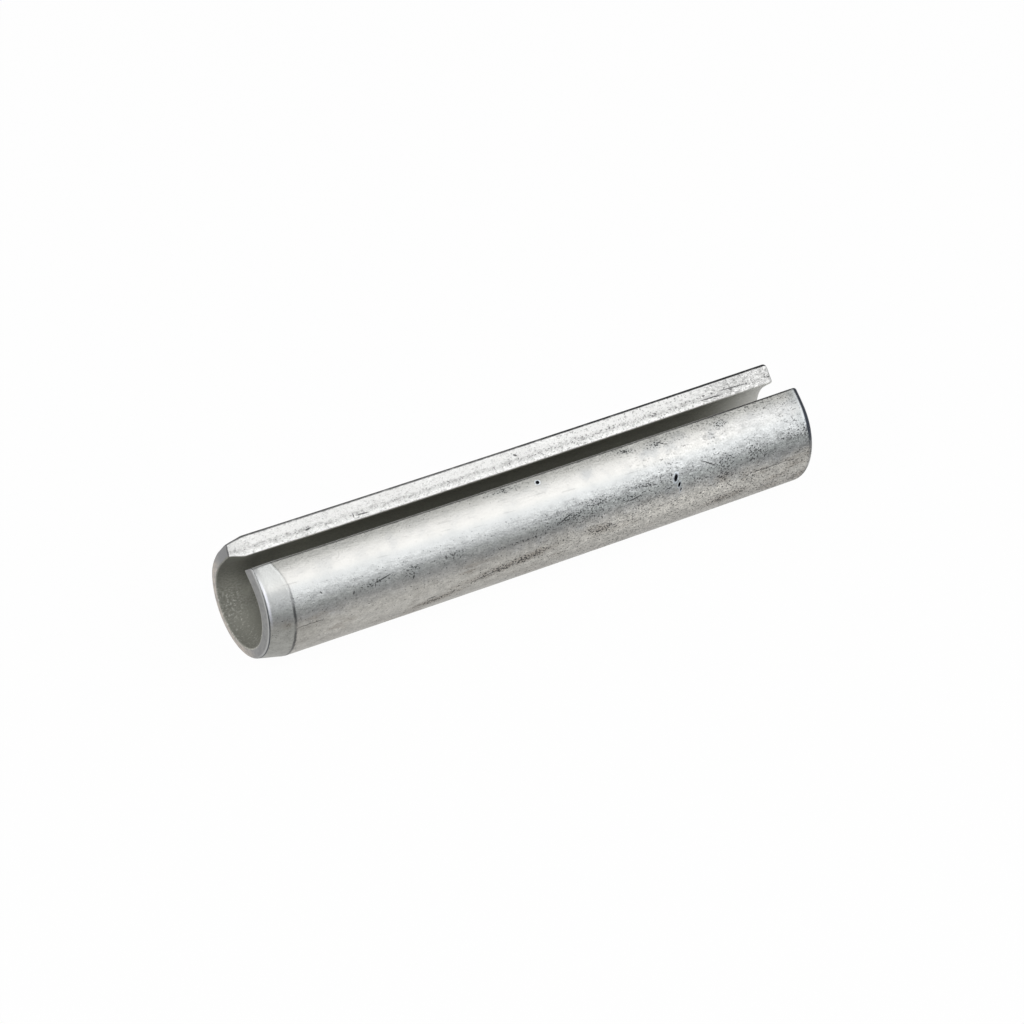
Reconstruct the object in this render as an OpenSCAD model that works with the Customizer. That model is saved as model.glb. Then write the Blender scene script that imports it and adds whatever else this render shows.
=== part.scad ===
// Slotted spring pin: one strip of spring steel rolled into an open tube.
// The pin lies along X with its axis at Z = 0 and its middle at X = 0.
// The tapered nose is at -X, the plain end at +X, and the slot is on top.

/* [Pin] */
// Length over both ends
pin_length = 45; // [20:0.5:120]
// Outside diameter of the rolled wall, before the pin is driven
curl_d = 8.6; // [6:0.1:16]
// Thickness of the strip
wall = 1.5; // [0.8:0.1:2]

/* [Slot] */
// Opening between the outer corners of the strip's two edges
slot_w = 4; // [2:0.1:6]
// Straight stretch of strip that the rolls leave beside the slot, on each side
lip_flat = 1.2; // [0.6:0.1:2]
// Rounding of the strip's outer corners along the slot
lip_round = 0.3; // [0.1:0.05:0.5]

/* [Ends] */
// Length of the tapered nose
nose_length = 2; // [0.5:0.1:5]
// How far the tip of the nose is set in from the outside of the roll
nose_inset = 0.4; // [0.1:0.05:0.7]
// Rounding of the outer edge at the plain end
end_round = 0.3; // [0.1:0.05:0.6]

/* [Hidden] */
$fn = 96;
// Outer radius of the rolled wall
curl_r = curl_d / 2;
// How far cutters reach past the surface that they cut
past = 1;
// Angle between the middle of the slot and the line where a lip begins, seen from the axis
open_half = asin(slot_w / 2 / norm([curl_r, lip_flat])) + atan(lip_flat / curl_r);
// How much the nose narrows on the radius for each millimetre of its length
nose_slope = nose_inset / nose_length;

// Draws its child on both sides of the slot, with the line where the lip begins turned onto +Y
module both_sides() {
    for (side = [0, 1]) mirror([side, 0, 0]) rotate(-open_half) children();
}

// One side of the strip in cross-section: half of the roll at +X, and the straight lip at -X
module side_section() {
    intersection() {
        difference() {
            circle(curl_r);
            circle(curl_r - wall);
        }
        translate([0, -curl_d]) square([curl_d, 2 * curl_d]);
    }
    translate([-lip_flat, curl_r - wall]) square([lip_flat, wall - lip_round]);
    translate([lip_round - lip_flat, curl_r - wall]) square([lip_flat - lip_round, wall]);
    translate([lip_round - lip_flat, curl_r - lip_round]) circle(lip_round);
}

// Sweeps a profile, drawn as radius and height, along the outside of one side of the strip
module along_side() {
    rotate_extrude(angle = 180, start = -90) children();
    translate([-lip_flat - past, 0, 0]) rotate([90, 0, 90])
        linear_extrude(lip_flat + past) children();
}

// What is taken off to leave the tapered nose
module nose_cut() {
    polygon([
        [curl_r - nose_inset - past * nose_slope, -pin_length / 2 - past],
        [curl_r + past, -pin_length / 2 + nose_length + past / nose_slope],
        [curl_r + past, -pin_length / 2 - past]
    ]);
}

// What is taken off to round the outer edge at the plain end
module end_cut() {
    translate([curl_r - end_round, pin_length / 2 - end_round]) difference() {
        square(end_round + past);
        circle(end_round);
    }
}

module spring_pin() {
    color("silver") rotate([90, 0, 90]) difference() {
        translate([0, 0, -pin_length / 2]) linear_extrude(pin_length)
            both_sides() side_section();
        both_sides() along_side() nose_cut();
        both_sides() along_side() end_cut();
    }
}

spring_pin();
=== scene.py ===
# Looks of a slotted spring pin: one strip of zinc plated steel, rolled into an open tube.
# The pin lies along X, nose at -X, slot on top, and its axis runs through the origin.
import math
from types import SimpleNamespace

import bpy
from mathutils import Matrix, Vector


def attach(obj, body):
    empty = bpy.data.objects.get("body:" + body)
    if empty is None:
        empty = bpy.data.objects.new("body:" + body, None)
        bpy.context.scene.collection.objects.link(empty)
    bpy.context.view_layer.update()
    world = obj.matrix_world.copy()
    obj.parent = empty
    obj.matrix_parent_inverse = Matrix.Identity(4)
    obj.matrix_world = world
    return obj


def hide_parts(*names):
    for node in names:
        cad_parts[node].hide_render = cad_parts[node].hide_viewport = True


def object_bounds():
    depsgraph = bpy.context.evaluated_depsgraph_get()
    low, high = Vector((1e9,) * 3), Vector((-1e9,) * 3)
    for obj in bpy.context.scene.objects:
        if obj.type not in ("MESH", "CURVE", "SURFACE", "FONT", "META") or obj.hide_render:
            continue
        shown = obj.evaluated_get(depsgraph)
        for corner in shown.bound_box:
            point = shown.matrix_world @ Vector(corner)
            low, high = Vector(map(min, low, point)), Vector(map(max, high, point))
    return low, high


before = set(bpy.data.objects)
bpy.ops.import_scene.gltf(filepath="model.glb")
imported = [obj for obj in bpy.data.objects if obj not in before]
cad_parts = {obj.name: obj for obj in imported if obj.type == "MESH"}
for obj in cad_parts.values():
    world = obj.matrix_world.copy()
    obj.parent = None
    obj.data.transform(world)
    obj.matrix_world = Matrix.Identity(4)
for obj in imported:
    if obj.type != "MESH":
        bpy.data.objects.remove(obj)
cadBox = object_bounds()
print("frame loaded")

mm = 0.001


# Node building, the same for shapes and for finishes

class Wire:
    # one output of a node, which can stand in sums with numbers and with other outputs
    def __init__(self, tree, socket=None):
        self.tree = tree
        self.socket = socket

    def node(self, kind, settings=None, sockets=None):
        made = self.tree.nodes.new(kind)
        for name, value in (settings or {}).items():
            setattr(made, name, value)
        for name, value in (sockets or {}).items():
            if isinstance(name, int):
                socket = made.inputs[name]
            else:
                socket = next(s for s in made.inputs if s.name == name and s.enabled)
            if isinstance(value, Wire):
                self.tree.links.new(value.socket, socket)
            else:
                socket.default_value = value
        shown = [s for s in made.outputs if s.enabled]
        return Wire(self.tree, shown[0] if shown else None)

    def out(self, name):
        return Wire(self.tree, self.socket.node.outputs[name])

    def maths(self, operation, *values):
        return self.node("ShaderNodeMath", {"operation": operation}, dict(enumerate(values)))

    def __add__(self, other):
        return self.maths("ADD", self, other)

    def __radd__(self, other):
        return self.maths("ADD", other, self)

    def __sub__(self, other):
        return self.maths("SUBTRACT", self, other)

    def __rsub__(self, other):
        return self.maths("SUBTRACT", other, self)

    def __mul__(self, other):
        return self.maths("MULTIPLY", self, other)

    def __rmul__(self, other):
        return self.maths("MULTIPLY", other, self)

    def __truediv__(self, other):
        return self.maths("DIVIDE", self, other)

    def __pow__(self, other):
        return self.maths("POWER", self, other)

    def __neg__(self):
        return self.maths("MULTIPLY", self, -1)

    def __abs__(self):
        return self.maths("ABSOLUTE", self)


def least(a, b):
    return (a if isinstance(a, Wire) else b).maths("MINIMUM", a, b)


def most(a, b):
    return (a if isinstance(a, Wire) else b).maths("MAXIMUM", a, b)


def ease(value, low, high, toLow=0.0, toHigh=1.0, shape="SMOOTHSTEP"):
    # value taken from low..high to toLow..toHigh, and held beyond both
    return value.node(
        "ShaderNodeMapRange",
        {"interpolation_type": shape},
        {"Value": value, "From Min": low, "From Max": high, "To Min": toLow, "To Max": toHigh},
    )


def scaled(vector, factors):
    return vector.node("ShaderNodeVectorMath", {"operation": "MULTIPLY"}, {0: vector, 1: factors})


def moved(vector, offset):
    return vector.node("ShaderNodeVectorMath", {"operation": "ADD"}, {0: vector, 1: offset})


def noise(vector, scale, detail=2.0, roughness=0.5):
    return vector.node(
        "ShaderNodeTexNoise",
        {"noise_dimensions": "3D"},
        {"Vector": vector, "Scale": scale, "Detail": detail, "Roughness": roughness},
    )


def mixed(factor, a, b, blend="MIX"):
    # colour a taken over to colour b, or blended with it
    wire = next(value for value in (factor, a, b) if isinstance(value, Wire))
    return wire.node(
        "ShaderNodeMix",
        {"data_type": "RGBA", "blend_type": blend},
        {"Factor": factor, "A": a, "B": b},
    )


# The pin's shape: a block of strip, its edges rounded, rolled lengthwise round the X axis

pinSizes = {
    # mm, apart from the nose's bulge and the lip's sharper end, which are shares
    "Length": round((cadBox[1].x - cadBox[0].x) / mm, 2),
    "Roll Diameter": round((cadBox[1].y - cadBox[0].y) / mm, 2),
    "Wall": 1.5,
    "Slot Width": 3.97,
    "Lip Flat": 1.4,
    "Lip Bend": 15.0,
    "Lip Rounding": 0.16,
    "Inner Rounding": 0.12,
    "Nose Length": 2.0,
    "Nose Inset": 0.34,
    "Nose Bulge": -0.15,
    "Nose Rim": 0.07,
    "Crease Width": 0.16,
    "Crease Depth": 0.012,
    "Crease Sweep": 0.65,
    "Nose Lean": 0.075,
    "Lip Tuck": 0.12,
    "Lip Skew": 0.3,
    "Lip End Sharper": 0.4,
    "Mouth Flare": 0.32,
    "Mouth Length": 2.0,
    "Face Dish": 0.12,
    "End Rounding": 0.5,
    "Bow": 0.11,
    "Cut Line Depth": 0.02,
    "Waviness": 0.012,
}
pinReach = {
    # how far each feature runs, in mm, measured from the place in its note
    "lipStart": (-0.8, 0.4),  # round the strip, from the end of its arc
    "tuckIn": (-3.2, -0.8),  # the same
    "tuckOut": -0.2,  # the same, up to the edge
    "sweep": 2.4,  # round the strip, from its edge
    "skew": 4.0,  # along the pin, from the tip of the nose
    "dish": 0.8,  # the same
    "cutLine": 0.16,  # through the wall, to each side of the line
    "cutLineAt": 0.45,  # where that line is, as a share of the wall from the bore
    "hold": 0.05,  # between a rounding and the plain surface, to keep the shading even
}
pinWaves = {
    # waves per mm along, round and through the strip, scale, detail and share of the waviness
    "broad": ((0.35, 0.5, 0.6), 1.0, 2.0, 1.6),
    "fine": ((1.0, 1.4, 1.5), 1.3, 3.0, 0.7),
}
pinRows = {
    # rows of the mesh in each stretch, in their order
    "along": {"rim": 4, "nose": 14, "crease": 6, "body": 190, "hold": 1, "end": 7},
    "across": {"arc": 52, "flat": 5, "hold": 1, "lip": 6},  # from the middle to each edge
    "through": {"inner": 2, "innerHold": 1, "middle": 4, "outerHold": 1, "outer": 6},
}


def runs(row, plan):
    # how far each stretch of rows has been walked, 0 to 1, at a row's number
    first = 0
    walked = {}
    for name, count in plan.items():
        walked[name] = ease(row, first, first + count, shape="LINEAR")
        first += count
    return walked


def emptyTree():
    tree = bpy.data.node_groups.new("rolledStrip", "GeometryNodeTree")
    tree.is_modifier = True
    face = tree.interface
    face.new_socket(name="Geometry", in_out="INPUT", socket_type="NodeSocketGeometry")
    for name, value in pinSizes.items():
        face.new_socket(name=name, in_out="INPUT", socket_type="NodeSocketFloat").default_value = value
    face.new_socket(name="Finish", in_out="INPUT", socket_type="NodeSocketMaterial")
    face.new_socket(name="Geometry", in_out="OUTPUT", socket_type="NodeSocketGeometry")
    return tree


def startRoll(start, size):
    # a block of mesh, and how much of each stretch is behind a point, in all three directions
    along, across, through = (sum(plan.values()) for plan in pinRows.values())
    block = start.node(
        "GeometryNodeMeshCube",
        {},
        {"Size": (1, 1, 1), "Vertices X": along + 1, "Vertices Y": 2 * across + 1,
         "Vertices Z": through + 1},
    )
    place = start.node("GeometryNodeInputPosition")
    parts = start.node("ShaderNodeSeparateXYZ", {}, {0: place})
    acrossRow = parts.out("Y") * (2 * across)
    side = start.maths("SIGN", acrossRow)
    return SimpleNamespace(
        start=start,
        size=size,
        block=block,
        radius=size["Roll Diameter"] / 2,
        side=side,
        farSide=most(-side, 0.0),
        alongRun=runs((parts + 0.5) * along, pinRows["along"]),
        acrossRun=runs(abs(acrossRow), pinRows["across"]),
        throughRun=runs((parts.out("Z") + 0.5) * through, pinRows["through"]),
    )


def layAcross(roll):
    # round the strip, from the middle of the roll to each edge
    size, run = roll.size, roll.acrossRun
    lipFlat, lipRound, hold = size["Lip Flat"], size["Lip Rounding"], pinReach["hold"]
    reach = (roll.radius * roll.radius + lipFlat * lipFlat) ** 0.5
    slotTurn = roll.start.maths("ARCSINE", size["Slot Width"] / 2 / reach)
    lipTurn = roll.start.maths("ARCTANGENT", lipFlat / roll.radius)
    roll.arc = roll.radius * (math.pi - (slotTurn + lipTurn))
    roll.edge = roll.arc + lipFlat
    roll.across = (
        roll.arc * run["arc"]
        + (lipFlat - lipRound - hold) * run["flat"]
        + run["hold"] * hold
        + lipRound * run["lip"]
    )


def layAlong(roll):
    # along the strip, from the tip of the nose; each end turns over a rounding
    size, run = roll.size, roll.alongRun
    rim, crease, noseLength = size["Nose Rim"], size["Crease Width"], size["Nose Length"]
    lipStart, lipDone = (roll.arc + step for step in pinReach["lipStart"])
    onLip = ease(roll.across, lipStart, lipDone)
    endRound = size["End Rounding"] * (1 - onLip * roll.farSide * size["Lip End Sharper"])
    rimTurn = run["rim"] * (math.pi / 2)
    endTurn = run["end"] * (math.pi / 2)
    endFall = 1 - roll.start.maths("COSINE", endTurn)
    roll.rimFall = rim * (1 - roll.start.maths("SINE", rimTurn))
    roll.outerFall = endRound * endFall
    roll.innerFall = size["Inner Rounding"] * endFall
    bodyLength = size["Length"] - noseLength - crease / 2 - endRound - pinReach["hold"]
    roll.fromNose = (
        rim * (1 - roll.start.maths("COSINE", rimTurn))
        + (noseLength - rim - crease / 2) * run["nose"]
        + crease * run["crease"]
        + bodyLength * run["body"]
        + run["hold"] * pinReach["hold"]
        + endRound * roll.start.maths("SINE", endTurn)
    )
    roll.noseShare = ease(roll.fromNose, 0.0, noseLength, shape="LINEAR")


def layThrough(roll):
    # through the strip, from the inside of the roll to the outside
    size, run = roll.size, roll.throughRun
    innerRound, lipRound, hold = size["Inner Rounding"], size["Lip Rounding"], pinReach["hold"]
    roll.depth = (
        innerRound * run["inner"]
        + run["innerHold"] * hold
        + (size["Wall"] - innerRound - lipRound - hold * 2) * run["middle"]
        + run["outerHold"] * hold
        + lipRound * run["outer"]
    )


def roundEdges(roll):
    # the square of each corner of the long edges is drawn onto a quarter disc
    wall, lipRound, innerRound = (roll.size[k] for k in ("Wall", "Lip Rounding", "Inner Rounding"))

    def corner(radius, over):
        sideways = ease(roll.across, roll.edge - radius, roll.edge, shape="LINEAR")
        diagonal = (sideways * sideways + over * over) ** 0.5
        kept = most(sideways, over) / most(diagonal, 0.0001)  # kept from dividing by 0
        lost = (1 - kept) * ease(diagonal, 0.0, 0.001)
        return sideways * radius * lost, over * radius * lost

    outerOver = ease(roll.depth, wall - lipRound, wall, shape="LINEAR")
    innerOver = ease(roll.depth, 0.0, innerRound, 1.0, 0.0, shape="LINEAR")
    outerSide, outerDown = corner(lipRound, outerOver)
    innerSide, innerUp = corner(innerRound, innerOver)
    roll.roundedAcross = roll.across - outerSide - innerSide
    roll.roundedDepth = roll.depth - outerDown + innerUp


def creaseNose(roll):
    # a groove behind the nose, which sweeps forward where it nears the slot
    size = roll.size
    fromCrease = abs(roll.fromNose - size["Nose Length"])
    nearCrease = most(1 - fromCrease / size["Nose Length"], 0.0)
    nearEdge = ease(roll.across, roll.edge - pinReach["sweep"], roll.edge, shape="LINEAR")
    sweep = size["Crease Sweep"] * nearCrease * nearEdge ** 2.0
    roll.groove = size["Crease Depth"] * most(1 - fromCrease / (size["Crease Width"] / 2), 0.0)
    roll.along = roll.fromNose - size["Length"] / 2 - sweep


def formNose(roll):
    # towards its tip the nose narrows, a little off centre, one lip is tucked in, and the bore
    # flares at its mouth
    size = roll.size
    towardsTip = 1 - roll.noseShare
    tuckStart, tuckDone = (roll.arc + step for step in pinReach["tuckIn"])
    farLip = (
        ease(roll.across, tuckStart, tuckDone)
        * ease(roll.across, roll.arc + pinReach["tuckOut"], roll.edge, 1.0, 0.0)
        * roll.farSide
    )
    tuck = size["Lip Tuck"] * farLip * towardsTip
    lean = size["Nose Lean"] * roll.start.maths("COSINE", roll.across / roll.radius)
    inset = (size["Nose Inset"] * (1 - size["Nose Bulge"] * roll.noseShare) + lean) * towardsTip
    flare = size["Mouth Flare"] * (1 - ease(roll.fromNose, 0.0, size["Mouth Length"]))
    roll.outerDrop = inset + tuck + roll.groove + roll.rimFall + roll.outerFall
    roll.innerLift = flare - tuck + roll.rimFall + roll.innerFall


def nearTip(roll, name):
    # 1 at the tip of the nose, 0 where the named feature ends
    return ease(roll.fromNose, 0.0, pinReach[name], 1.0, 0.0)


def drawIn(roll):
    # the ends, the nose and the slot's faces draw the section in
    size, wall = roll.size, roll.size["Wall"]
    share = roll.roundedDepth / wall
    atEdge = ease(roll.across, roll.arc, roll.edge, shape="LINEAR")
    fromCutLine = abs(roll.roundedDepth - wall * pinReach["cutLineAt"])
    cutLine = size["Cut Line Depth"] * ease(fromCutLine, 0.0, pinReach["cutLine"], 1.0, 0.0)
    skew = size["Lip Skew"] * (1 - share) * most(roll.side, 0.0) * nearTip(roll, "skew")
    sideDrop = roll.rimFall + roll.innerFall
    roll.share = share
    roll.drawnAcross = (roll.roundedAcross - atEdge * (sideDrop + cutLine - skew)) * roll.side
    roll.drawnDepth = roll.innerLift + share * (wall - roll.innerLift - roll.outerDrop)
    roll.dished = size["Face Dish"] * share * nearTip(roll, "dish")


def rollUp(roll):
    # where each point lies once it is rolled: an arc, with a straighter lip beyond each of its
    # ends, and the whole a little bowed
    size, start = roll.size, roll.start
    onArc = least(most(roll.drawnAcross, -roll.arc), roll.arc)
    turn = -(onArc / roll.radius)
    fullTurn = turn - (roll.drawnAcross - onArc) / size["Lip Bend"]
    outward = size["Lip Bend"] - size["Wall"] + roll.drawnDepth
    lipCentre = roll.radius - size["Lip Bend"]
    fromMiddle = roll.along / (size["Length"] / 2)
    bow = size["Bow"] * fromMiddle * fromMiddle
    sideways = lipCentre * start.maths("SINE", turn) + outward * start.maths("SINE", fullTurn)
    upwards = (
        bow - lipCentre * start.maths("COSINE", turn) - outward * start.maths("COSINE", fullTurn)
    )
    return start.node(
        "ShaderNodeCombineXYZ",
        {},
        {0: (roll.along + roll.dished) * mm, 1: sideways * mm, 2: upwards * mm},
    )


def waveSwell(start):
    # the strip is never quite even: how far each point swells, as a share of the waviness
    stripHere = start.node(
        "GeometryNodeInputNamedAttribute", {"data_type": "FLOAT_VECTOR"}, {"Name": "strip"}
    )
    broad, fine = (
        (noise(scaled(stripHere, stretch), scale, detail) - 0.5) * part
        for stretch, scale, detail, part in pinWaves.values()
    )
    return broad + fine


def rolledStrip():
    tree = emptyTree()
    start = Wire(tree)
    asked = start.node("NodeGroupInput")
    roll = startRoll(start, {name: asked.out(name) for name in pinSizes})
    for step in (layAcross, layAlong, layThrough, roundEdges, creaseNose, formNose, drawIn):
        step(roll)
    fromMiddle = roll.fromNose - roll.size["Length"] / 2
    strip = start.node(
        "ShaderNodeCombineXYZ", {}, {0: fromMiddle, 1: roll.drawnAcross, 2: roll.share}
    )
    marked = start.node(
        "GeometryNodeStoreNamedAttribute",
        {"data_type": "FLOAT_VECTOR", "domain": "POINT"},
        {"Geometry": roll.block, "Name": "strip", "Value": strip},
    )
    shaped = start.node(
        "GeometryNodeSetPosition", {}, {"Geometry": marked, "Position": rollUp(roll)}
    )
    swell = waveSwell(start) * roll.size["Waviness"] * mm
    shift = start.node(
        "ShaderNodeVectorMath",
        {"operation": "SCALE"},
        {"Vector": start.node("GeometryNodeInputNormal"), "Scale": swell},
    )
    uneven = start.node("GeometryNodeSetPosition", {}, {"Geometry": shaped, "Offset": shift})
    smooth = start.node("GeometryNodeSetShadeSmooth", {}, {"Geometry": uneven, "Shade Smooth": True})
    real = start.node("GeometryNodeRealizeInstances", {}, {"Geometry": smooth})
    finished = start.node(
        "GeometryNodeSetMaterial", {}, {"Geometry": real, "Material": asked.out("Finish")}
    )
    start.node("NodeGroupOutput", {}, {"Geometry": finished})
    return tree


# The pin's finish: dull zinc over steel, with some light and shade painted on, read from where each
# point lies on the flat strip

finishLook = {
    "plate": (0.46, 0.455, 0.44, 1.0),
    "plateDull": (0.37, 0.38, 0.385, 1.0),
    # the flank tint is partly wear and partly a painted dark reflection of the room in front
    "flankReflectionAndWear": (0.375, 0.395, 0.39, 1.0),
    "belly": (0.46, 0.447, 0.415, 1.0),
    "bellyShade": (0.33, 0.32, 0.295, 1.0),
    "bruise": (0.20, 0.22, 0.225, 1.0),
    "stain": (0.23, 0.20, 0.165, 1.0),
    # painted shade along the lips beside the slot
    "lip": (0.25, 0.25, 0.235, 1.0),
    # painted highlight, on the top of the nose and on the rims of the end faces
    "paleHighlight": (0.54, 0.55, 0.54, 1.0),
    "noseBelly": (0.315, 0.315, 0.295, 1.0),
    "cut": (0.70, 0.70, 0.69, 1.0),
    "cutBright": (0.84, 0.84, 0.83, 1.0),
    "cutDull": (0.40, 0.40, 0.395, 1.0),
    "face": (0.275, 0.275, 0.27, 1.0),
    "faceDark": (0.205, 0.205, 0.21, 1.0),
    "faceWarm": (0.50, 0.445, 0.39, 1.0),
    "bore": (0.33, 0.33, 0.29, 1.0),
    "boreScaleDark": (0.26, 0.26, 0.23, 1.0),
    # painted shade inside the bore
    "borePaintedShade": (0.13, 0.13, 0.115, 1.0),
    # painted light inside the bore
    "borePaintedLight": (0.42, 0.42, 0.37, 1.0),
    # painted light in the bore towards the plain end
    "boreEndLight": (0.66, 0.66, 0.63, 1.0),
    "boreGlint": (0.85, 0.85, 0.80, 1.0),
    # dark marks and the darker corners, and also painted shade in the crease and by the nose's tip
    "dirtAndShade": (0.035, 0.036, 0.038, 1.0),
    "black": (0.006, 0.006, 0.008, 1.0),
    # painted dark reflection along the rounded edges of the ends
    "darkEdgeReflection": (0.036, 0.042, 0.055, 1.0),
    "shine": (0.62, 0.68, 0.74, 1.0),
    "noseShine": (0.70, 0.71, 0.77, 1.0),
    "roughness": 0.38,
    "grainDepth": 0.012,
    "clumpDepth": 0.02,
    "tearDepth": 0.05,
    "pitDepth": 0.10,
}
surfaces = {
    # where each surface sets in: through the wall (0 in the bore, 1 outside), or mm from an edge
    "bore": (0.02, 0.09, 1.0, 0.0),
    "outside": (0.90, 0.985),
    "cut": (0.02, 0.08, 1.0, 0.0),
    "cutAboveBore": (0.02, 0.08),
    "plainFace": (0.06, 0.02),
    "crease": 0.05,
    "middleLine": (0.02, 0.16, 1.0, 0.0),  # to each side of the next
    "middleLineAt": 0.38,
    "besideBore": (0.26, 0.10),
    "corner": (0.87, 0.93),
    "cornerIn": (0.24, 0.14),
    "nearCornerLess": 0.05,
    "innerRing": (0.12, 0.03),
    "outerRing": (0.85, 0.93),
}
patterns = {
    # grain of each pattern along, round and through the strip, its offset, detail and roughness
    "grain": ((6.0, 7.5, 6.0), None, 2.0, 0.65),
    "clump": ((1.5, 2.3, 2.0), (2.0, 9.0, 4.0), 4.0, 0.68),
    "drawn": ((0.12, 5.0, 1.0), None, 3.0, 0.6),
    "patch": ((0.22, 0.45, 1.0), (3.1, 7.7, 0.0), 3.0, 0.6),
    "crowd": ((0.30, 0.50, 1.0), (11.0, 2.0, 5.0), 3.0, 0.65),
    "fine": ((6.6, 8.0, 6.0), None, 1.5, 0.5),
    "stray": ((3.0, 3.0, 0.0), None, 2.0, 0.5),
    "tear": ((3.2, 1.0, 6.0), None, 4.0, 0.78),
    "chatter": ((7.0, 1.0, 9.0), None, 2.0, 0.5),
    "scale": ((5.0, 5.0, 1.0), None, 2.0, 0.7),
}
cloudGrain = (0.6, 3.0, 0.6)  # the clouds, alike in all directions: scale, detail and roughness
shows = {
    # where a pattern, itself 0 to 1, starts to show and where it shows in full
    "dullCloud": (0.48, 0.70),
    "stain": (0.52, 0.70),
    "drawnLine": (0.58, 0.75),
    "smudge": (0.36, 0.52),
    "busy": (0.60, 0.86),
    "sparse": (0.68, 0.90),
    "pepper": (0.67, 0.70),
    "crease": (0.35, 0.60),
    "torn": (0.52, 0.72),
    "tornLine": (0.35, 0.62),
    "tornEnd": (0.38, 0.58),
    "cutBright": (0.66, 0.50, 0.2, 0.9),
    "cutSpeck": (0.62, 0.68),
    "corner": (0.30, 0.50, 0.5, 1.0),
    "faceDark": (0.42, 0.62),
    "millScale": (0.38, 0.56),
    "glint": (0.54, 0.68),
}
ragged = {
    # how far a pattern pushes an edge to and fro: in mm, through the wall, or of another pattern
    "belly": 2.0,
    "lip": 0.8,
    "crease": 0.16,
    "cutMark": 0.12,
    "mark": 0.10,
    "middleLine": 0.2,
    "besideBore": 0.5,
    "stain": 0.35,
    "busy": 0.4,
    "sparse": 0.5,
}
amounts = {
    # how strongly each tint or mark is laid on, or moves another pattern; 1 in full
    "grainTone": 0.9,
    "clumpTone": 1.0,
    "wornTone": 0.7,
    "noseCalm": 0.2,
    "flankLight": 0.22,
    "dullEnd": 0.5,
    "flankFresh": 0.75,
    "flankWorn": 0.2,
    "flankReflectionAndWear": 0.9,
    "shoulderShade": 0.7,
    "belly": 0.9,
    "bellyShade": 0.7,
    "lip": 0.9,
    "stain": 0.5,
    "drawnLine": 0.25,
    "busyAll": 0.25,
    "busyBand": 0.75,
    "busyNose": 0.5,
    "pepperWorn": 0.02,
    "pepperBelly": 0.03,
    "pepperStain": 0.05,
    "pepperBusy": 0.125,
    "pepperNose": 0.02,
    "fewSpecks": 0.45,
    "fewDashes": 0.60,
    "fewRakes": 0.60,
    "fewNicks": 0.50,
    "pocksAll": 0.05,
    "pocksBusy": 0.90,
    "scoresAll": 0.20,
    "scoresBusy": 0.4,
    "nicks": 0.8,
    "scores": 0.6,
    "lowSmudge": 0.55,
    "highSmudge": 0.20,
    "marks": 0.92,
    "pitRim": 0.5,
    "creaseShadeLeast": 0.45,
    "crease": 0.78,
    "torn": 0.8,
    "tornLine": 0.7,
    "tornEnd": 0.75,
    "cutSpecks": 0.85,
    "cutSpecksAll": 0.3,
    "cutSpecksWorn": 0.2,
    "cutSpecksLine": 0.5,
    "cutSpeckWorn": 0.03,
    "farMarks": 0.85,
    "cutMost": 0.9,
    "cornerFresh": 0.7,
    "cornerWorn": 0.3,
    "cornerEnd": 0.6,
    "cornerMost": 0.95,
    "faceWarm": 0.9,
    "faceDark": 0.6,
    "faceTop": 0.9,
    "innerRing": 0.7,
    "outerRing": 0.5,
    "boreFloorLight": 0.7,
    "boreBandShade": 0.4,
    "boreSheen": 0.6,
    "boreMouthShade": 0.45,
    "boreDeepLight": 0.2,
    "boreEndLight": 0.8,
    "endTint": 0.35,
    "endShine": 0.15,
    "noseShine": 0.8,
    "rim": 0.85,
}
gloss = {
    # what each adds to the roughness
    "grain": 0.15,
    "marks": 0.25,
    "cut": 0.10,
    "bore": 0.2,
    "belly": 0.06,
}
notMetal = {
    # how little like metal each looks, and the most of them together
    "bore": 0.6,
    "marks": 0.6,
    "most": 0.8,
}
relief = {
    # the grain is deeper on a cut face, and the nose is smoother
    "cutGrain": 1.5,
    "noseGrain": 0.6,
    "noseClump": 0.7,
}
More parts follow.
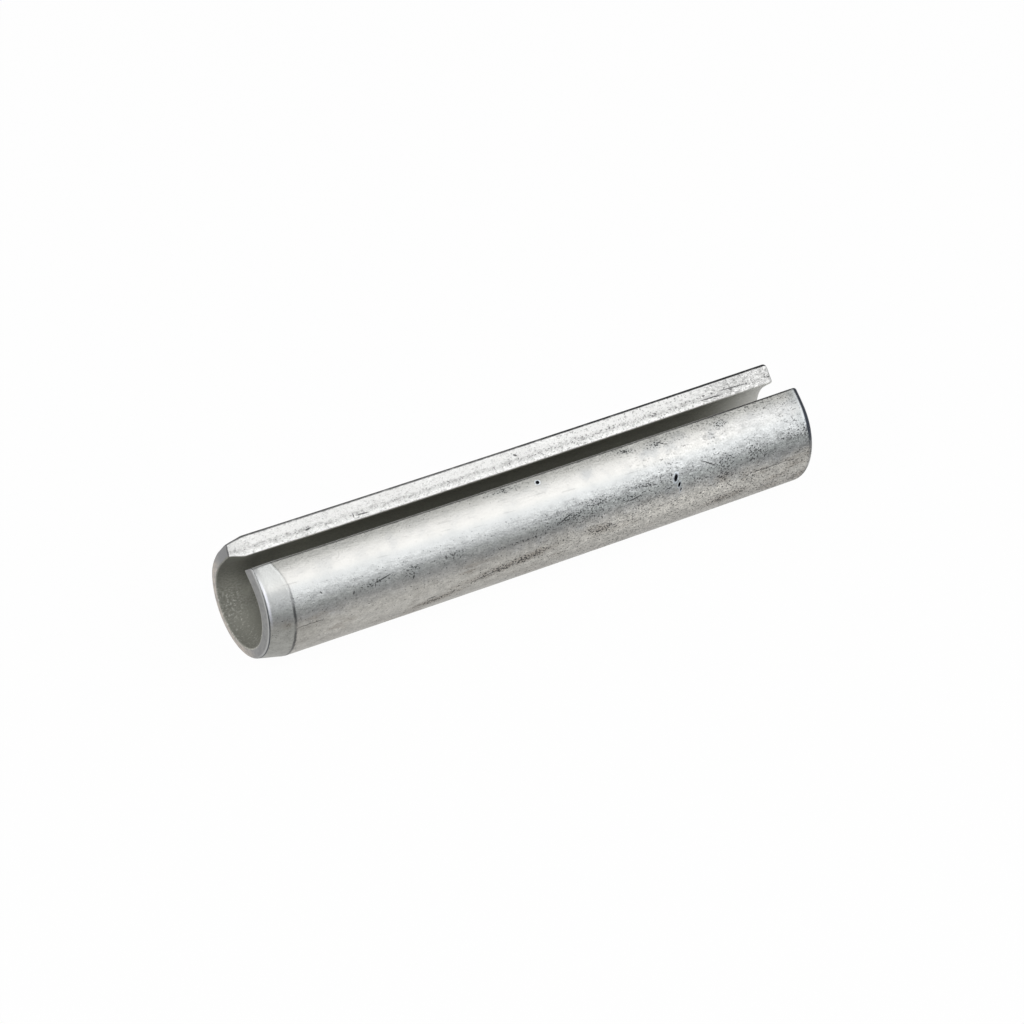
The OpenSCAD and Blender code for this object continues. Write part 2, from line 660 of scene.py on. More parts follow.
zones = {
    # mm round the strip from its middle, or along the pin: where a change starts and is complete,
    # then, if it doesn't run from 0 to 1, its two ends
    "worn": (-5.0, 7.0),
    "glareIn": (8.6, 9.5),
    "glareOut": (10.3, 11.3, 1.0, 0.35),
    "quiet": (5.0, 15.0, 0.92, 0.72),
    "lively": (4.0, 14.0, 0.08, 0.5),
    "flankLightIn": (0.0, 6.0),
    "flankLightOut": (14.0, 20.0, 1.0, 0.0),
    "flankLightLow": (5.2, 6.0),
    "flankLightHigh": (8.6, 7.9),
    "dullClouds": (-2.0, 6.0, 0.35, 0.7),
    "dullEnd": (13.0, 19.0),
    "flankIn": (7.0, 8.1),
    "flankOut": (8.5, 10.1, 1.0, 0.0),
    "belly": (6.2, 7.4, 1.0, 0.0),
    "shoulderShadeIn": (7.9, 8.4),
    "shoulderShadeOut": (9.2, 9.9, 1.0, 0.0),
    "bellyLow": (5.5, 4.2),
    "bellyNose": (-17.0, -19.5),
    "lip": (10.3, 11.4),
    "noseTop": (9.0, 10.6),
    "noseLow": (7.4, 6.4),
    "stained": (7.6, 6.6),
    "bandMiddle": 7.9,
    "bandWidth": (0.3, 1.1, 1.0, 0.0),
    "gritty": (-12.0, 2.0),
    "sparse": (5.0, 14.0),
    "lower": (7.6, 6.8),
    "creaseShadeWidth": (0.04, 0.15, 1.0, 0.0),
    "creaseShadeFade": (8.5, 11.0, 1.0, 0.4),
    "cutEnd": (13.0, 20.0),
    "cornerEnd": (10.0, 17.0),
    "nearSide": (-1.0, 1.0),
    "farCorner": (-1.0, 1.0, 0.95, 0.0),
    "farSide": (1.0, -1.0),
    "warmFrom": (-10.0, -7.5),
    "warmTo": (0.0, 3.0, 1.0, 0.0),
    "faceTop": (-8.5, -10.5),
    "ringsFrom": (1.0, 5.0),
    "boreFloorLight": (4.5, 2.0),
    "boreMouthShade": (-19.0, -20.0),
    "boreBandShadeIn": (-20.7, -19.7),
    "boreBandShadeOut": (-17.0, -19.0),
    "boreHigh": (5.8, 8.2),
    "deepIn": (-18.0, -16.0),
    "deepOut": (12.0, 16.0, 1.0, 0.0),
    "deepHigh": (5.0, 7.0),
    "boreEndLight": (16.0, 22.0),
    "glintMouth": (-20.6, -21.4, 0.10, 0.55),
    "glintLow": (6.5, 5.5),
    "unevenGloss": (-2.0, 6.0, 0.10, 0.20),
    # on the near side only, for the lines along the edges of the ends
    "endLean": (8.8, 10.6),
    "endDarkReflection": (6.6, 8.4, 0.35, 1.0),
    "endTint": (8.0, 9.5),
    "endShine": (7.5, 9.0),
    "noseShineFrom": (6.6, 8.0),
    "noseShineTo": (9.6, 11.0, 1.0, 0.2),
    "rimLine": (7.5, 10.5, 1.0, 0.5),
}
edges = {
    # mm in from the plain end, or from the nose's tip, written as the zones are
    "lean": 0.06,  # how much nearer the end its lines run on one side
    "setBack": 0.08,  # the end's lines are measured from this far beyond it
    "endDarkReflection": (0.38, 0.46, 1.0, 0.0),
    "endTint": (1.6, 0.6),
    "endShineIn": (0.44, 0.50),
    "endShineOut": (0.54, 0.64, 1.0, 0.0),
    "noseFace": (0.015, 0.05, 1.0, 0.0),
    "burr": (0.06, 0.20, 1.0, 0.0),
    "noseShineIn": (0.10, 0.16),
    "noseShineOut": (0.22, 0.42, 1.0, 0.0),
    "rimIn": (0.01, 0.03),
    "rimOut": (0.06, 0.14, 1.0, 0.0),
}
strewn = {
    # size in its cell, cells per mm along and round the strip, share of cells used, turn, offset
    "specks": (0.44, (4.9, 5.5), 0.34, 0.0, 1.3),
    "pocks": (0.32, (2.2, 2.5), 0.07, 0.3, 4.1),
    "dashes": (0.40, (1.6, 7.0), 0.22, 0.25, 7.7),
    "rakes": (0.40, (1.9, 7.6), 0.16, -0.45, 5.2),
    "nicks": (0.40, (5.2, 2.0), 0.14, -0.30, 2.9),
    "scores": (0.34, (0.40, 6.0), 0.12, 0.05, 9.3),
}
knocks = {
    # along and round the strip, half length and half width in mm, turn of the long side
    "slantNick": (-8.5, 8.1, 0.15, 0.05, -1.0),
    "flatNick": (-7.9, 8.05, 0.14, 0.045, 0.0),
    "upNick": (-7.4, 7.75, 0.15, 0.04, 0.9),
    "lonePock": (-15.9, 7.75, 0.17, 0.08, 1.2),
    "softPock": (-11.2, 7.45, 0.17, 0.09, 1.2),
    "noseNick": (-18.3, 8.5, 0.14, 0.05, -1.1),
    "flankScore": (1.2, 7.95, 0.85, 0.06, 0.40),
    "midScore": (7.0, 7.7, 0.7, 0.07, 0.14),
    "clusterScore": (13.4, 8.4, 0.75, 0.05, -0.55),
    "endScore": (18.6, 6.5, 1.9, 0.035, 0.0),
    "noseScore": (-19.3, 6.5, 1.2, 0.03, 0.0),
    "bandScore": (-13.6, 8.05, 0.9, 0.05, 0.20),
    "belowNick": (-9.6, 5.0, 0.45, 0.06, 0.15),
    "slantScore": (-5.0, 5.5, 1.6, 0.05, 0.16),
}
pits = {
    # deeper dents, in the same order
    "deepPit": (10.55, 8.15, 0.33, 0.18, 1.2),
    "secondPit": (10.75, 7.6, 0.23, 0.12, 1.1),
    "smallPit": (10.85, 7.2, 0.16, 0.07, 1.2),
    "lipPit": (0.0, 11.0, 0.17, 0.14, 0.0),
}
smudges = {
    # where small marks crowd, in the same order
    "darkBand": (1.5, 7.85, 3.0, 0.40, 0.10),
    "longShade": (-2.6, 7.35, 3.0, 0.15, 0.0),
    "midBand": (6.4, 7.9, 1.6, 0.35, -0.20),
    "bandLeft": (-14.2, 7.95, 1.6, 0.30, 0.10),
    "bandMid": (-11.3, 7.9, 0.9, 0.45, 0.20),
    "bandNicks": (-7.8, 8.05, 1.1, 0.30, 0.0),
    "upperNicks": (7.4, 8.45, 0.9, 0.18, 0.0),
    "bellyClump": (4.1, 6.2, 1.5, 0.45, -0.20),
    "bellyRun": (-3.5, 5.7, 4.8, 0.45, 0.10),
    "lowStreak": (-9.0, 4.6, 2.6, 0.40, 0.10),
    "endBand": (14.8, 8.1, 1.2, 0.60, 0.0),
    "endClump": (14.6, 7.1, 1.1, 0.60, 0.0),
    "endLow": (15.0, 4.9, 2.2, 0.50, 0.10),
    "lipShade": (-2.6, 11.2, 1.6, 0.25, 0.0),
    "lipEdge": (7.4, 11.1, 1.0, 0.25, -0.2),
    "lipPatch": (9.9, 10.9, 1.2, 0.40, 0.0),
    "lipPatchTwo": (15.2, 10.8, 0.9, 0.35, 0.0),
    "noseScuff": (-21.1, 7.1, 0.4, 0.60, 0.0),
}
cutKnocks = {
    # on the far cut face: along the strip and through it from the bore, half sizes in mm, turn
    "barMark": (-12.65, 0.45, 0.05, 0.20, 0.0),
    "dashMark": (-11.95, 0.38, 0.60, 0.05, -0.06),
    "dotMark": (0.7, 0.93, 0.20, 0.09, -0.5),
    "streakMark": (17.2, 0.40, 1.20, 0.06, -0.03),
    "thinMark": (19.2, 0.62, 1.40, 0.04, -0.05),
    "startMark": (-16.2, 0.53, 0.30, 0.07, 0.1),
}
# the sheen is painted light inside the bore
boreSheen = (-20.4, -5.3, 0.5, 1.0, 0.2)  # a paler patch in the bore, in the same order
strewnEdge = (0.55, 1.0, 1.0, 0.0)  # how far out a strewn mark is full and is gone
strewnLeast = 0.45  # the smallest of a kind beside the largest
smudgeEdge = (0.2, 1.3)  # how far out a smudge is full and is gone, in its half sizes
sheenEdge = (0.1, 1.4)  # the same for the paler patch
pitEdge = (0.6, 1.0)  # and for a pit
pitRimEdge = (1.1, 1.6)  # and for the bright rim round it


def turned(vector, angle):
    return vector.node(
        "ShaderNodeVectorRotate", {"rotation_type": "Z_AXIS"}, {"Vector": vector, "Angle": angle}
    )


def pattern(ground, kind):
    stretch, offset, detail, roughness = patterns[kind]
    laid = scaled(ground, stretch)
    if offset:
        laid = moved(laid, offset)
    return noise(laid, 1.0, detail, roughness)


def scatter(ground, kind):
    # small marks strewn over the strip: 1 at the middle of each, 0 between them
    size, cells, share, turn, offset = strewn[kind]
    laid = scaled(turned(ground, turn), (cells[0], cells[1], 3.0))
    cell = ground.node(
        "ShaderNodeTexVoronoi",
        {"voronoi_dimensions": "2D", "feature": "F1"},
        {"Vector": moved(laid, (offset, offset * 1.7, offset * 0.6)), "Scale": 1.0, "Randomness": 1.0},
    )
    chance = ground.node("ShaderNodeSeparateColor", {}, {0: cell.out("Color")})
    reach = size * (strewnLeast + (1 - strewnLeast) * chance.out("Green"))
    used = chance.maths("GREATER_THAN", chance, 1.0 - share)
    return ease(cell / reach, *strewnEdge) * used


def knock(flat, mark, core=0.5, edge=1.1):
    # one mark at a chosen place of a flat pattern
    along, across, halfLength, halfWidth, turn = mark
    spot = moved(flat, (-along, -across, 0.0))
    if turn:
        spot = turned(spot, -turn)
    spot = scaled(spot, (1.0 / halfLength, 1.0 / halfWidth, 0.0))
    away = flat.node("ShaderNodeVectorMath", {"operation": "LENGTH"}, {0: spot})
    return ease(away, core, edge, 1.0, 0.0)


def knockAll(flat, marks, core=0.5, edge=1.1):
    first, *rest = [knock(flat, mark, core, edge) for mark in marks.values()]
    return sum(rest, first)


def readStrip(start):
    # where a point lies on the flat strip, and which of its surfaces it is on
    strip = start.node("ShaderNodeAttribute", {"attribute_name": "strip"}).out("Vector")
    parts = start.node("ShaderNodeSeparateXYZ", {}, {0: strip})
    along, across, share = parts, parts.out("Y"), parts.out("Z")
    half = pinSizes["Length"] / 2
    rollRadius = pinSizes["Roll Diameter"] / 2
    lipFlat = pinSizes["Lip Flat"]
    reach = math.hypot(rollRadius, lipFlat)
    lipAngle = math.asin(pinSizes["Slot Width"] / 2 / reach) + math.atan(lipFlat / rollRadius)
    halfStrip = rollRadius * (math.pi - lipAngle) + lipFlat
    creaseAt = pinSizes["Nose Length"] - half
    fromMiddle = abs(across)
    awayFromEdge = halfStrip - fromMiddle

    def fromTip(name):
        low, high, *ends = edges[name]
        return ease(along, low - half, high - half, *ends)

    end, endDone = surfaces["plainFace"]
    return SimpleNamespace(
        start=start,
        half=half,
        creaseAt=creaseAt,
        fromTip=fromTip,
        ground=scaled(strip, (1.0, 1.0, pinSizes["Wall"])),
        along=along,
        across=across,
        share=share,
        fromMiddle=fromMiddle,
        awayFromEdge=awayFromEdge,
        bore=ease(share, *surfaces["bore"]),
        outside=ease(share, *surfaces["outside"]),
        cut=ease(awayFromEdge, *surfaces["cut"]) * ease(share, *surfaces["cutAboveBore"]),
        noseFace=fromTip("noseFace"),
        plainFace=ease(along, half - end, half - endDone),
        nose=ease(along, creaseAt - surfaces["crease"], creaseAt + surfaces["crease"], 1.0, 0.0),
    )


def addPatterns(at):
    # clouds, a fine grain, and lines drawn along the strip, and where the wear has come
    at.grain = pattern(at.ground, "grain")
    at.clump = pattern(at.ground, "clump")
    at.cloud = noise(at.ground, *cloudGrain)
    at.drawn = pattern(at.ground, "drawn")
    patch = pattern(at.ground, "patch")
    at.worn = ease(at.along, *zones["worn"])
    glare = ease(at.fromMiddle, *zones["glareIn"]) * ease(at.fromMiddle, *zones["glareOut"])
    at.quiet = 1 - glare * ease(at.along, *zones["quiet"])
    at.belly = ease(at.fromMiddle + (at.cloud - 0.5) * ragged["belly"], *zones["belly"])
    at.stain = (
        ease(patch + (at.drawn - 0.5) * ragged["stain"], *shows["stain"])
        * ease(at.fromMiddle, *zones["stained"])
    )
    at.tear = pattern(at.ground, "tear")


def plateColour(at, look):
    # clean zinc: the flanks duller and bluer, partly wear and partly a painted dark reflection, the
    # belly browner; painted shade at the highlight's lower edge, under the belly and along the lips, a
    # painted highlight on the nose, and painted light on the lower flank of the far half
    lively = most(at.quiet, ease(at.along, *zones["lively"]))
    lively = lively * (1 - at.nose * amounts["noseCalm"]) * (1 + at.worn * amounts["wornTone"])
    speckle = (at.grain - 0.5) * amounts["grainTone"] + (at.clump - 0.5) * amounts["clumpTone"]
    # painted light: the lower flank brighter over the far half of the pin
    flankLight = ease(at.along, *zones["flankLightIn"]) * ease(at.along, *zones["flankLightOut"])
    flankLight = flankLight * ease(at.fromMiddle, *zones["flankLightLow"]) * ease(at.fromMiddle, *zones["flankLightHigh"])
    tone = (1 + speckle * lively) * (1 + flankLight * amounts["flankLight"])
    dull = ease(at.cloud, *shows["dullCloud"]) * ease(at.along, *zones["dullClouds"])
    colour = mixed(dull, look["plate"], look["plateDull"])
    colour = mixed(ease(at.along, *zones["dullEnd"]) * amounts["dullEnd"], colour, look["plateDull"])
    # the flanks duller and bluer: partly wear, partly a painted dark reflection of the room in front
    flankReflectionAndWear = ease(at.fromMiddle, *zones["flankIn"]) * ease(at.fromMiddle, *zones["flankOut"])
    flankReflectionAndWear = flankReflectionAndWear * (amounts["flankFresh"] + amounts["flankWorn"] * at.worn)
    colour = mixed(flankReflectionAndWear * amounts["flankReflectionAndWear"], colour, look["flankReflectionAndWear"])
    # painted shade: the lower edge of the highlight darkened to narrow it
    shoulderShade = ease(at.fromMiddle, *zones["shoulderShadeIn"]) * ease(at.fromMiddle, *zones["shoulderShadeOut"])
    colour = mixed(shoulderShade * amounts["shoulderShade"], colour, look["plateDull"])
    colour = mixed(at.belly * amounts["belly"], colour, look["belly"])
    # painted shade on the underside, and on the belly beside the crease behind the nose
    shade = most(
        ease(at.fromMiddle, *zones["bellyLow"]), ease(at.along, *zones["bellyNose"]) * at.belly
    )
    colour = mixed(shade * amounts["bellyShade"], colour, look["bellyShade"])
    # painted shade along the lips beside the slot
    lip = ease(at.fromMiddle + (at.clump - 0.5) * ragged["lip"], *zones["lip"]) * (1 - at.nose)
    colour = mixed(lip * amounts["lip"], colour, look["lip"])
    # a painted highlight on the top of the nose
    colour = mixed(at.nose * ease(at.fromMiddle, *zones["noseTop"]), colour, look["paleHighlight"])
    colour = mixed(at.nose * ease(at.fromMiddle, *zones["noseLow"]), colour, look["noseBelly"])
    colour = mixed(at.stain * amounts["stain"] * (1 - at.nose), colour, look["stain"])
    drawnLines = ease(at.drawn, *shows["drawnLine"]) * amounts["drawnLine"]
    colour = mixed(drawnLines, colour, look["plateDull"])
    return mixed(1.0, colour, tone, "MULTIPLY")


def pepper(at, busy):
    # the finest dots, thicker where the pin is worn, stained or marked
    thicker = (
        at.worn * amounts["pepperWorn"]
        + at.belly * ease(at.along, *zones["gritty"]) * amounts["pepperBelly"]
        + at.stain * amounts["pepperStain"]
    )
    fine = pattern(at.ground, "fine") + busy * amounts["pepperBusy"] + thicker
    dots = ease(fine - at.nose * amounts["pepperNose"], *shows["pepper"])
    return dots * most(at.quiet, at.crowded)


def addMarks(at):
    # marks gather on the flanks and towards the plain end
    crowd = pattern(at.ground, "crowd")
    band = ease(abs(at.fromMiddle - zones["bandMiddle"]), *zones["bandWidth"])
    at.crowded = knockAll(at.ground, smudges, *smudgeEdge)
    at.crowded = least(at.crowded * ease(at.clump, *shows["smudge"]), 1.0)
    busy = (
        ease(crowd + at.clump * ragged["busy"], *shows["busy"])
        * (amounts["busyAll"] + amounts["busyBand"] * band)
        * at.worn
        * at.quiet
    )
    busy = most(busy, at.crowded) * (1 - at.nose * amounts["busyNose"])
    sparse = (
        ease(at.along, *zones["sparse"]) * ease(crowd + at.clump * ragged["sparse"], *shows["sparse"])
    )
    specks = scatter(at.ground, "specks") * most(busy, sparse * amounts["fewSpecks"])
    pocks = scatter(at.ground, "pocks") * (amounts["pocksAll"] + amounts["pocksBusy"] * busy)
    dashes = scatter(at.ground, "dashes") * most(busy, sparse * amounts["fewDashes"])
    rakes = scatter(at.ground, "rakes") * most(busy, sparse * amounts["fewRakes"])
    nicks = scatter(at.ground, "nicks") * most(busy, sparse * amounts["fewNicks"])
    scores = scatter(at.ground, "scores") * (amounts["scoresAll"] + amounts["scoresBusy"] * busy)
    marks = pepper(at, busy) + specks + pocks + dashes + rakes
    marks = marks + nicks * amounts["nicks"] + scores * amounts["scores"]
    far = ragged["mark"]
    stray = scaled(pattern(at.ground, "stray").out("Color"), (far, far, 0.0))
    strayed = moved(moved(at.ground, stray), (-far / 2, -far / 2, 0.0))
    at.marks = least(sum((knock(strayed, mark) for mark in knocks.values()), marks), 1.0)
    at.pit = knockAll(at.ground, pits, *pitEdge)
    at.pitRim = knockAll(at.ground, pits, *pitRimEdge)


def soiledAndShaded(colour, at, look):
    # the marks, the pits with a painted highlight on each rim, and painted shade in the crease behind
    # the nose
    lower = ease(at.fromMiddle, *zones["lower"])
    colour = mixed(at.crowded * lower * amounts["lowSmudge"], colour, look["stain"])
    colour = mixed(at.crowded * (1 - lower) * amounts["highSmudge"], colour, look["bruise"])
    colour = mixed(at.marks * at.outside * amounts["marks"], colour, look["dirtAndShade"])
    # a painted highlight on the rim round each pit
    colour = mixed(least(at.pitRim, 1.0) * at.outside * amounts["pitRim"], colour, look["shine"])
    colour = mixed(least(at.pit, 1.0) * at.outside, colour, look["black"])
    # painted shade in the crease behind the nose, fading towards the top
    fromCrease = abs(at.along - at.creaseAt + (at.clump - 0.5) * ragged["crease"])
    thinnest = amounts["creaseShadeLeast"]
    creaseShade = (
        ease(fromCrease, *zones["creaseShadeWidth"])
        * (thinnest + (1 - thinnest) * ease(at.cloud, *shows["crease"]))
        * ease(at.fromMiddle, *zones["creaseShadeFade"])
    )
    return mixed(creaseShade * at.outside * amounts["crease"], colour, look["dirtAndShade"])


def cutColour(at, look):
    # cut faces of the strip: bright and torn, with a duller line along the middle
    fromLine = abs(at.share - surfaces["middleLineAt"] + (at.cloud - 0.5) * ragged["middleLine"])
    middleLine = ease(fromLine, *surfaces["middleLine"])
    torn = ease(at.tear, *shows["torn"]) * amounts["torn"]
    torn = torn + middleLine * ease(at.tear, *shows["tornLine"]) * amounts["tornLine"]
    tone = mixed(least(torn, 1.0), look["cut"], look["cutDull"])
    chatter = pattern(at.ground, "chatter")
    besideBore = ease(at.share + (chatter - 0.5) * ragged["besideBore"], *surfaces["besideBore"])
    tone = mixed(besideBore * ease(at.tear, *shows["cutBright"]), tone, look["cutBright"])
    plainEnd = ease(at.along, *zones["cutEnd"])
    tornEnd = plainEnd * ease(at.tear, *shows["tornEnd"]) * amounts["tornEnd"]
    tone = mixed(tornEnd, tone, look["cutDull"])
    specks = ease(chatter + at.worn * amounts["cutSpeckWorn"], *shows["cutSpeck"]) * (
        amounts["cutSpecksAll"]
        + amounts["cutSpecksWorn"] * at.worn
        + amounts["cutSpecksLine"] * middleLine
    )
    tone = mixed(specks * amounts["cutSpecks"], tone, look["dirtAndShade"])
    strayed = at.share * pinSizes["Wall"] + (at.tear - 0.5) * ragged["cutMark"]
    flat = at.start.node("ShaderNodeCombineXYZ", {}, {0: at.along, 1: strayed})
    farMarks = knockAll(flat, cutKnocks) * ease(at.across, *zones["farSide"]) * amounts["farMarks"]
    # painted shade on the cut edge by the nose's tip, with the marks on the far face
    return mixed(least(at.fromTip("burr") + farMarks, amounts["cutMost"]), tone, look["dirtAndShade"])


def darkerCorner(at):
    # the outer corner of each long edge is dark, most at the plain end
    nearSide = ease(at.across, *zones["nearSide"])
    fromCorner = at.awayFromEdge + nearSide * surfaces["nearCornerLess"]
    corner = ease(at.share, *surfaces["corner"]) * ease(fromCorner, *surfaces["cornerIn"])
    dark = ease(at.across, *zones["farCorner"])
    dark = dark * (amounts["cornerFresh"] + amounts["cornerWorn"] * at.worn)
    dark = dark + ease(at.along, *zones["cornerEnd"]) * amounts["cornerEnd"]
    return least(corner * dark * ease(at.clump, *shows["corner"]), amounts["cornerMost"])


def faceColour(at, look):
    # end faces: warm on the far side of the nose, with painted highlights on the rims of the near side
    warmSide = ease(at.across, *zones["warmFrom"]) * ease(at.across, *zones["warmTo"])
    tone = mixed(warmSide * amounts["faceWarm"], look["face"], look["faceWarm"])
    tone = mixed(ease(at.clump, *shows["faceDark"]) * amounts["faceDark"], tone, look["faceDark"])
    tone = mixed(ease(at.across, *zones["faceTop"]) * amounts["faceTop"], tone, look["faceDark"])
    # painted highlights on the inner and outer rims of the end faces
    innerRing = ease(at.share, *surfaces["innerRing"]) * amounts["innerRing"]
    outerRing = ease(at.share, *surfaces["outerRing"]) * amounts["outerRing"]
    rings = most(innerRing, outerRing) * ease(at.across, *zones["ringsFrom"])
    return mixed(rings, tone, look["paleHighlight"])


def boreColour(at, look):
    # the bore keeps its mill scale; painted light on its floor, on a sheen patch, deep inside and
    # towards the plain end, painted shade by its mouth, and painted glints at its mouth
    scale = pattern(at.ground, "scale")
    tone = mixed(ease(scale, *shows["millScale"]), look["boreScaleDark"], look["bore"])
    # painted light on the bore's floor
    low = ease(at.fromMiddle, *zones["boreFloorLight"]) * amounts["boreFloorLight"]
    tone = mixed(low, tone, look["borePaintedLight"])
    # painted shade in a band inside the mouth
    band = ease(at.along, *zones["boreBandShadeIn"]) * ease(at.along, *zones["boreBandShadeOut"])
    tone = mixed(band * amounts["boreBandShade"], tone, look["borePaintedShade"])
    # painted light: a paler sheen patch
    sheen = knock(at.ground, boreSheen, *sheenEdge) * amounts["boreSheen"]
    tone = mixed(sheen, tone, look["borePaintedLight"])
    # painted shade high in the bore by its mouth
    mouthShade = ease(at.along, *zones["boreMouthShade"]) * amounts["boreMouthShade"]
    tone = mixed(ease(at.fromMiddle, *zones["boreHigh"]) * mouthShade, tone, look["borePaintedShade"])
    # painted light deep in the bore, where it shows through the slot
    deepLight = ease(at.along, *zones["deepIn"]) * ease(at.along, *zones["deepOut"])
    deepLight = ease(at.fromMiddle, *zones["deepHigh"]) * deepLight * amounts["boreDeepLight"]
    tone = mixed(deepLight, tone, look["borePaintedLight"])
    # painted light towards the plain end
    tone = mixed(ease(at.along, *zones["boreEndLight"]) * amounts["boreEndLight"], tone, look["boreEndLight"])
    # painted glints at the mouth
    glint = (
        ease(scale, *shows["glint"])
        * ease(at.along, *zones["glintMouth"])
        * ease(at.fromMiddle, *zones["glintLow"])
    )
    return mixed(glint, tone, look["boreGlint"])


def edged(colour, at, look):
    # the sheared outer edges: a painted dark reflection along each rounded edge, with a painted
    # highlight line inside, and a darker tint by the plain end
    lean = ease(at.across, *zones["endLean"]) * edges["lean"]
    fromEnd = at.half - at.along + lean - edges["setBack"]
    # painted dark reflection along the rounded edge of the plain end
    darkEdgeReflection = ease(fromEnd, *edges["endDarkReflection"]) * ease(at.across, *zones["endDarkReflection"])
    tint = ease(fromEnd, *edges["endTint"]) * ease(at.across, *zones["endTint"])
    # painted highlight lines inside the rounded edges of the plain end and of the nose
    shine = ease(fromEnd, *edges["endShineIn"]) * ease(fromEnd, *edges["endShineOut"])
    shine = shine * ease(at.across, *zones["endShine"])
    noseShine = at.fromTip("noseShineIn") * at.fromTip("noseShineOut")
    noseShine = noseShine * ease(at.across, *zones["noseShineFrom"])
    noseShine = noseShine * ease(at.across, *zones["noseShineTo"])
    # painted dark reflection on the rim of the nose's face
    rim = at.fromTip("rimIn") * at.fromTip("rimOut") * ease(at.across, *zones["rimLine"])
    colour = mixed(tint * at.outside * amounts["endTint"], colour, look["bruise"])
    colour = mixed(shine * at.outside * amounts["endShine"], colour, look["shine"])
    colour = mixed(noseShine * at.outside * amounts["noseShine"], colour, look["noseShine"])
    return mixed(most(darkEdgeReflection, rim * amounts["rim"]) * at.outside, colour, look["darkEdgeReflection"])


def roughnessOf(at, look):
    return (
        look["roughness"]
        + (at.grain - 0.5) * gloss["grain"]
        + (at.cloud - 0.5) * ease(at.along, *zones["unevenGloss"])
        + at.marks * gloss["marks"]
        + at.cut * gloss["cut"]
        + at.bore * gloss["bore"]
        + at.belly * gloss["belly"]
    )


def metalOf(at):
    lost = at.bore * notMetal["bore"] + at.marks * at.outside * notMetal["marks"]
    return 1 - least(lost, notMetal["most"])


def heightOf(at, look):
    # grain and clumps all over, pits outside, and torn cut faces
    grainHere = 1 + at.cut * relief["cutGrain"] - at.nose * relief["noseGrain"]
    return (
        (at.grain - 0.5) * look["grainDepth"] * grainHere
        + (at.clump - 0.5) * (1 - at.nose * relief["noseClump"]) * look["clumpDepth"]
        - at.pit * at.outside * look["pitDepth"]
        + (at.tear - 0.5) * at.cut * look["tearDepth"]
    )


def zincPlate():
    material = bpy.data.materials.new("zincPlate")
    material.use_nodes = True
    material.node_tree.nodes.clear()
    start = Wire(material.node_tree)
    look = finishLook
    at = readStrip(start)
    addPatterns(at)
    addMarks(at)
    colour = soiledAndShaded(plateColour(at, look), at, look)
    colour = mixed(at.cut, colour, cutColour(at, look))
    colour = mixed(darkerCorner(at), colour, look["dirtAndShade"])
    colour = mixed(most(at.noseFace, at.plainFace), colour, faceColour(at, look))
    colour = mixed(at.bore, colour, boreColour(at, look))
    colour = edged(colour, at, look)
    bump = start.node(
        "ShaderNodeBump", {}, {"Strength": 1.0, "Distance": mm, "Height": heightOf(at, look)}
    )
    shader = start.node(
        "ShaderNodeBsdfPrincipled",
        {},
        {"Base Color": colour, "Metallic": metalOf(at), "Roughness": roughnessOf(at, look),
         "Normal": bump},
    )
    start.node("ShaderNodeOutputMaterial", {}, {"Surface": shader})
    return material


def plainMesh(name, tree, values):
    # runs a tree on an empty mesh and keeps the result as an ordinary object
    holder = bpy.data.objects.new(name, bpy.data.meshes.new(name))
    bpy.context.scene.collection.objects.link(holder)
    modifier = holder.modifiers.new("build", "NODES")
    modifier.node_group = tree
    sockets = {s.name: s.identifier for s in tree.interface.items_tree if s.in_out == "INPUT"}
    for label, value in values.items():
        modifier[sockets[label]] = value
    bpy.context.view_layer.update()
    seen = holder.evaluated_get(bpy.context.evaluated_depsgraph_get())
    mesh = bpy.data.meshes.new_from_object(seen)
    holder.modifiers.remove(modifier)
    holder.data = mesh
    mesh.name = name
    return holder


zinc = zincPlate()
pin = plainMesh("pin", rolledStrip(), {**pinSizes, "Finish": zinc})
if not pin.data.materials:
    pin.data.materials.append(zinc)
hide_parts("spring_pin")
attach(pin, "root")
print("pin made:", len(pin.data.polygons), "faces")


# Studio: pale floor and backdrop, a large soft lamp at the front right, a small one that fills
# the mouth of the bore, a dark card for the gloss of the belly, and a dim room round them

studio = {
    "floorRadius": 1.5,
    "floorSides": 96,
    "backdropHeight": 0.6,
    "floorColour": (0.90, 0.90, 0.90, 1.0),
    "floorLift": 0.975,
    "room": 0.25,
    "cardColour": (0.285, 0.30, 0.31, 1.0),
    "cardReach": (0.012, 0.070),
    "cardHalfWidth": 0.12,
    "cardRise": 0.3 * mm,
}
lamps = {
    # the way to each lamp, its distance, its two sides and its brightness
    "key": ((0.446, -0.655, 0.625), 0.45, (0.45, 0.40), 2.3),
    "mouthFill": ((-0.82, -0.15, 0.55), 0.40, (0.18, 0.18), 6.0),
}


def paleFloor():
    material = bpy.data.materials.new("paleFloor")
    material.use_nodes = True
    tree = material.node_tree
    tree.nodes.clear()
    start = Wire(tree)
    ray = start.node("ShaderNodeLightPath")
    seen = least(
        ray.out("Is Camera Ray") + ray.out("Is Glossy Ray") + ray.out("Is Transmission Ray"), 1.0
    )
    lit = start.node("ShaderNodeBsdfDiffuse", {}, {"Color": studio["floorColour"]})
    white = start.node("ShaderNodeEmission", {}, {"Color": (1, 1, 1, 1), "Strength": 1.0})
    shader = start.node(
        "ShaderNodeMixShader", {}, {0: seen * studio["floorLift"], 1: lit, 2: white}
    )
    start.node("ShaderNodeOutputMaterial", {}, {"Surface": shader})
    return material


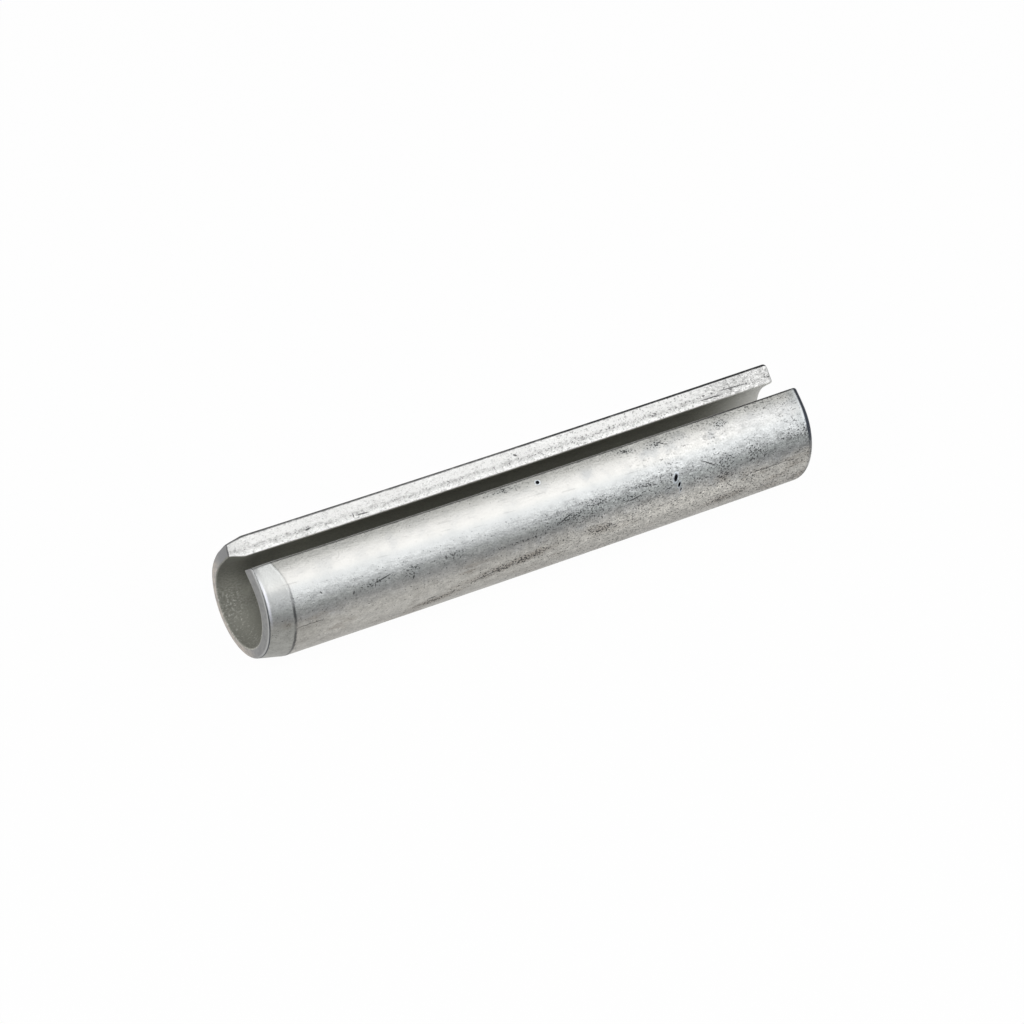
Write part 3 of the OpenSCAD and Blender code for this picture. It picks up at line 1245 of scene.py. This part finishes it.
def addFloor():
    # a flat round floor whose rim rises into an upright backdrop
    radius, height, count = studio["floorRadius"], studio["backdropHeight"], studio["floorSides"]
    mesh = bpy.data.meshes.new("floor")
    low = cadBox[0].z
    points = [(0.0, 0.0, low)]
    faces = []
    for level in (low, low + height):
        for k in range(count):
            turn = 2 * math.pi * k / count
            points.append((radius * math.cos(turn), radius * math.sin(turn), level))
    for k in range(count):
        after = (k + 1) % count
        faces.append((0, 1 + k, 1 + after))
        faces.append((1 + k, 1 + count + k, 1 + count + after, 1 + after))
    mesh.from_pydata(points, [], faces)
    mesh.materials.append(paleFloor())
    floor = bpy.data.objects.new("floor", mesh)
    bpy.context.scene.collection.objects.link(floor)


addFloor()

world = bpy.data.worlds.new("room")
world.use_nodes = True
background = world.node_tree.nodes["Background"]
background.inputs["Color"].default_value = (1, 1, 1, 1)
background.inputs["Strength"].default_value = studio["room"]
bpy.context.scene.world = world


def softLamp(name):
    direction, distance, size, brightness = lamps[name]
    data = bpy.data.lights.new(name, "AREA")
    data.shape = "RECTANGLE"
    data.size, data.size_y = size
    data.energy = brightness * math.pi * size[0] * size[1]
    lamp = bpy.data.objects.new(name, data)
    way = Vector(direction).normalized()
    lamp.location = way * distance
    lamp.rotation_euler = way.to_track_quat("Z", "Y").to_euler()
    bpy.context.scene.collection.objects.link(lamp)


for lampName in lamps:
    softLamp(lampName)


def darkCard():
    # a dark card lying in front of the pin, seen only in its gloss
    material = bpy.data.materials.new("darkCard")
    material.use_nodes = True
    body = material.node_tree.nodes["Principled BSDF"]
    body.inputs["Base Color"].default_value = studio["cardColour"]
    body.inputs["Roughness"].default_value = 1.0
    near, far = studio["cardReach"]
    wide, level = studio["cardHalfWidth"], cadBox[0].z + studio["cardRise"]
    mesh = bpy.data.meshes.new("darkCard")
    mesh.from_pydata(
        [(-wide, -far, level), (wide, -far, level), (wide, -near, level), (-wide, -near, level)],
        [], [(0, 1, 2, 3)],
    )
    mesh.materials.append(material)
    card = bpy.data.objects.new("darkCard", mesh)
    card.visible_camera = False
    card.visible_diffuse = False
    card.visible_shadow = False
    bpy.context.scene.collection.objects.link(card)


darkCard()
print("studio lit")


# Camera

view = {
    "azimuth": -32.5,
    "elevation": 31.9,
    "distance": 293.3 * mm,
    "sideways": -0.472 * mm,
    "upward": -0.041 * mm,
    "lens": 146.94,
    "sensor": 36.0,
    "nearest": 0.01,
    "farthest": 20.0,
}


def addCamera():
    data = bpy.data.cameras.new("camera")
    data.sensor_width = view["sensor"]
    data.lens = view["lens"]
    data.clip_start = view["nearest"]
    data.clip_end = view["farthest"]
    camera = bpy.data.objects.new("camera", data)
    turn, rise = math.radians(view["azimuth"]), math.radians(view["elevation"])
    way = Vector((math.sin(turn) * math.cos(rise), -math.cos(turn) * math.cos(rise), math.sin(rise)))
    right = Vector((math.cos(turn), math.sin(turn), 0.0))
    up = way.cross(right)
    camera.location = right * view["sideways"] + up * view["upward"] + way * view["distance"]
    camera.rotation_euler = (math.pi / 2 - rise, 0.0, turn)
    bpy.context.scene.collection.objects.link(camera)
    bpy.context.scene.camera = camera


addCamera()
bpy.context.scene.view_settings.view_transform = "Standard"
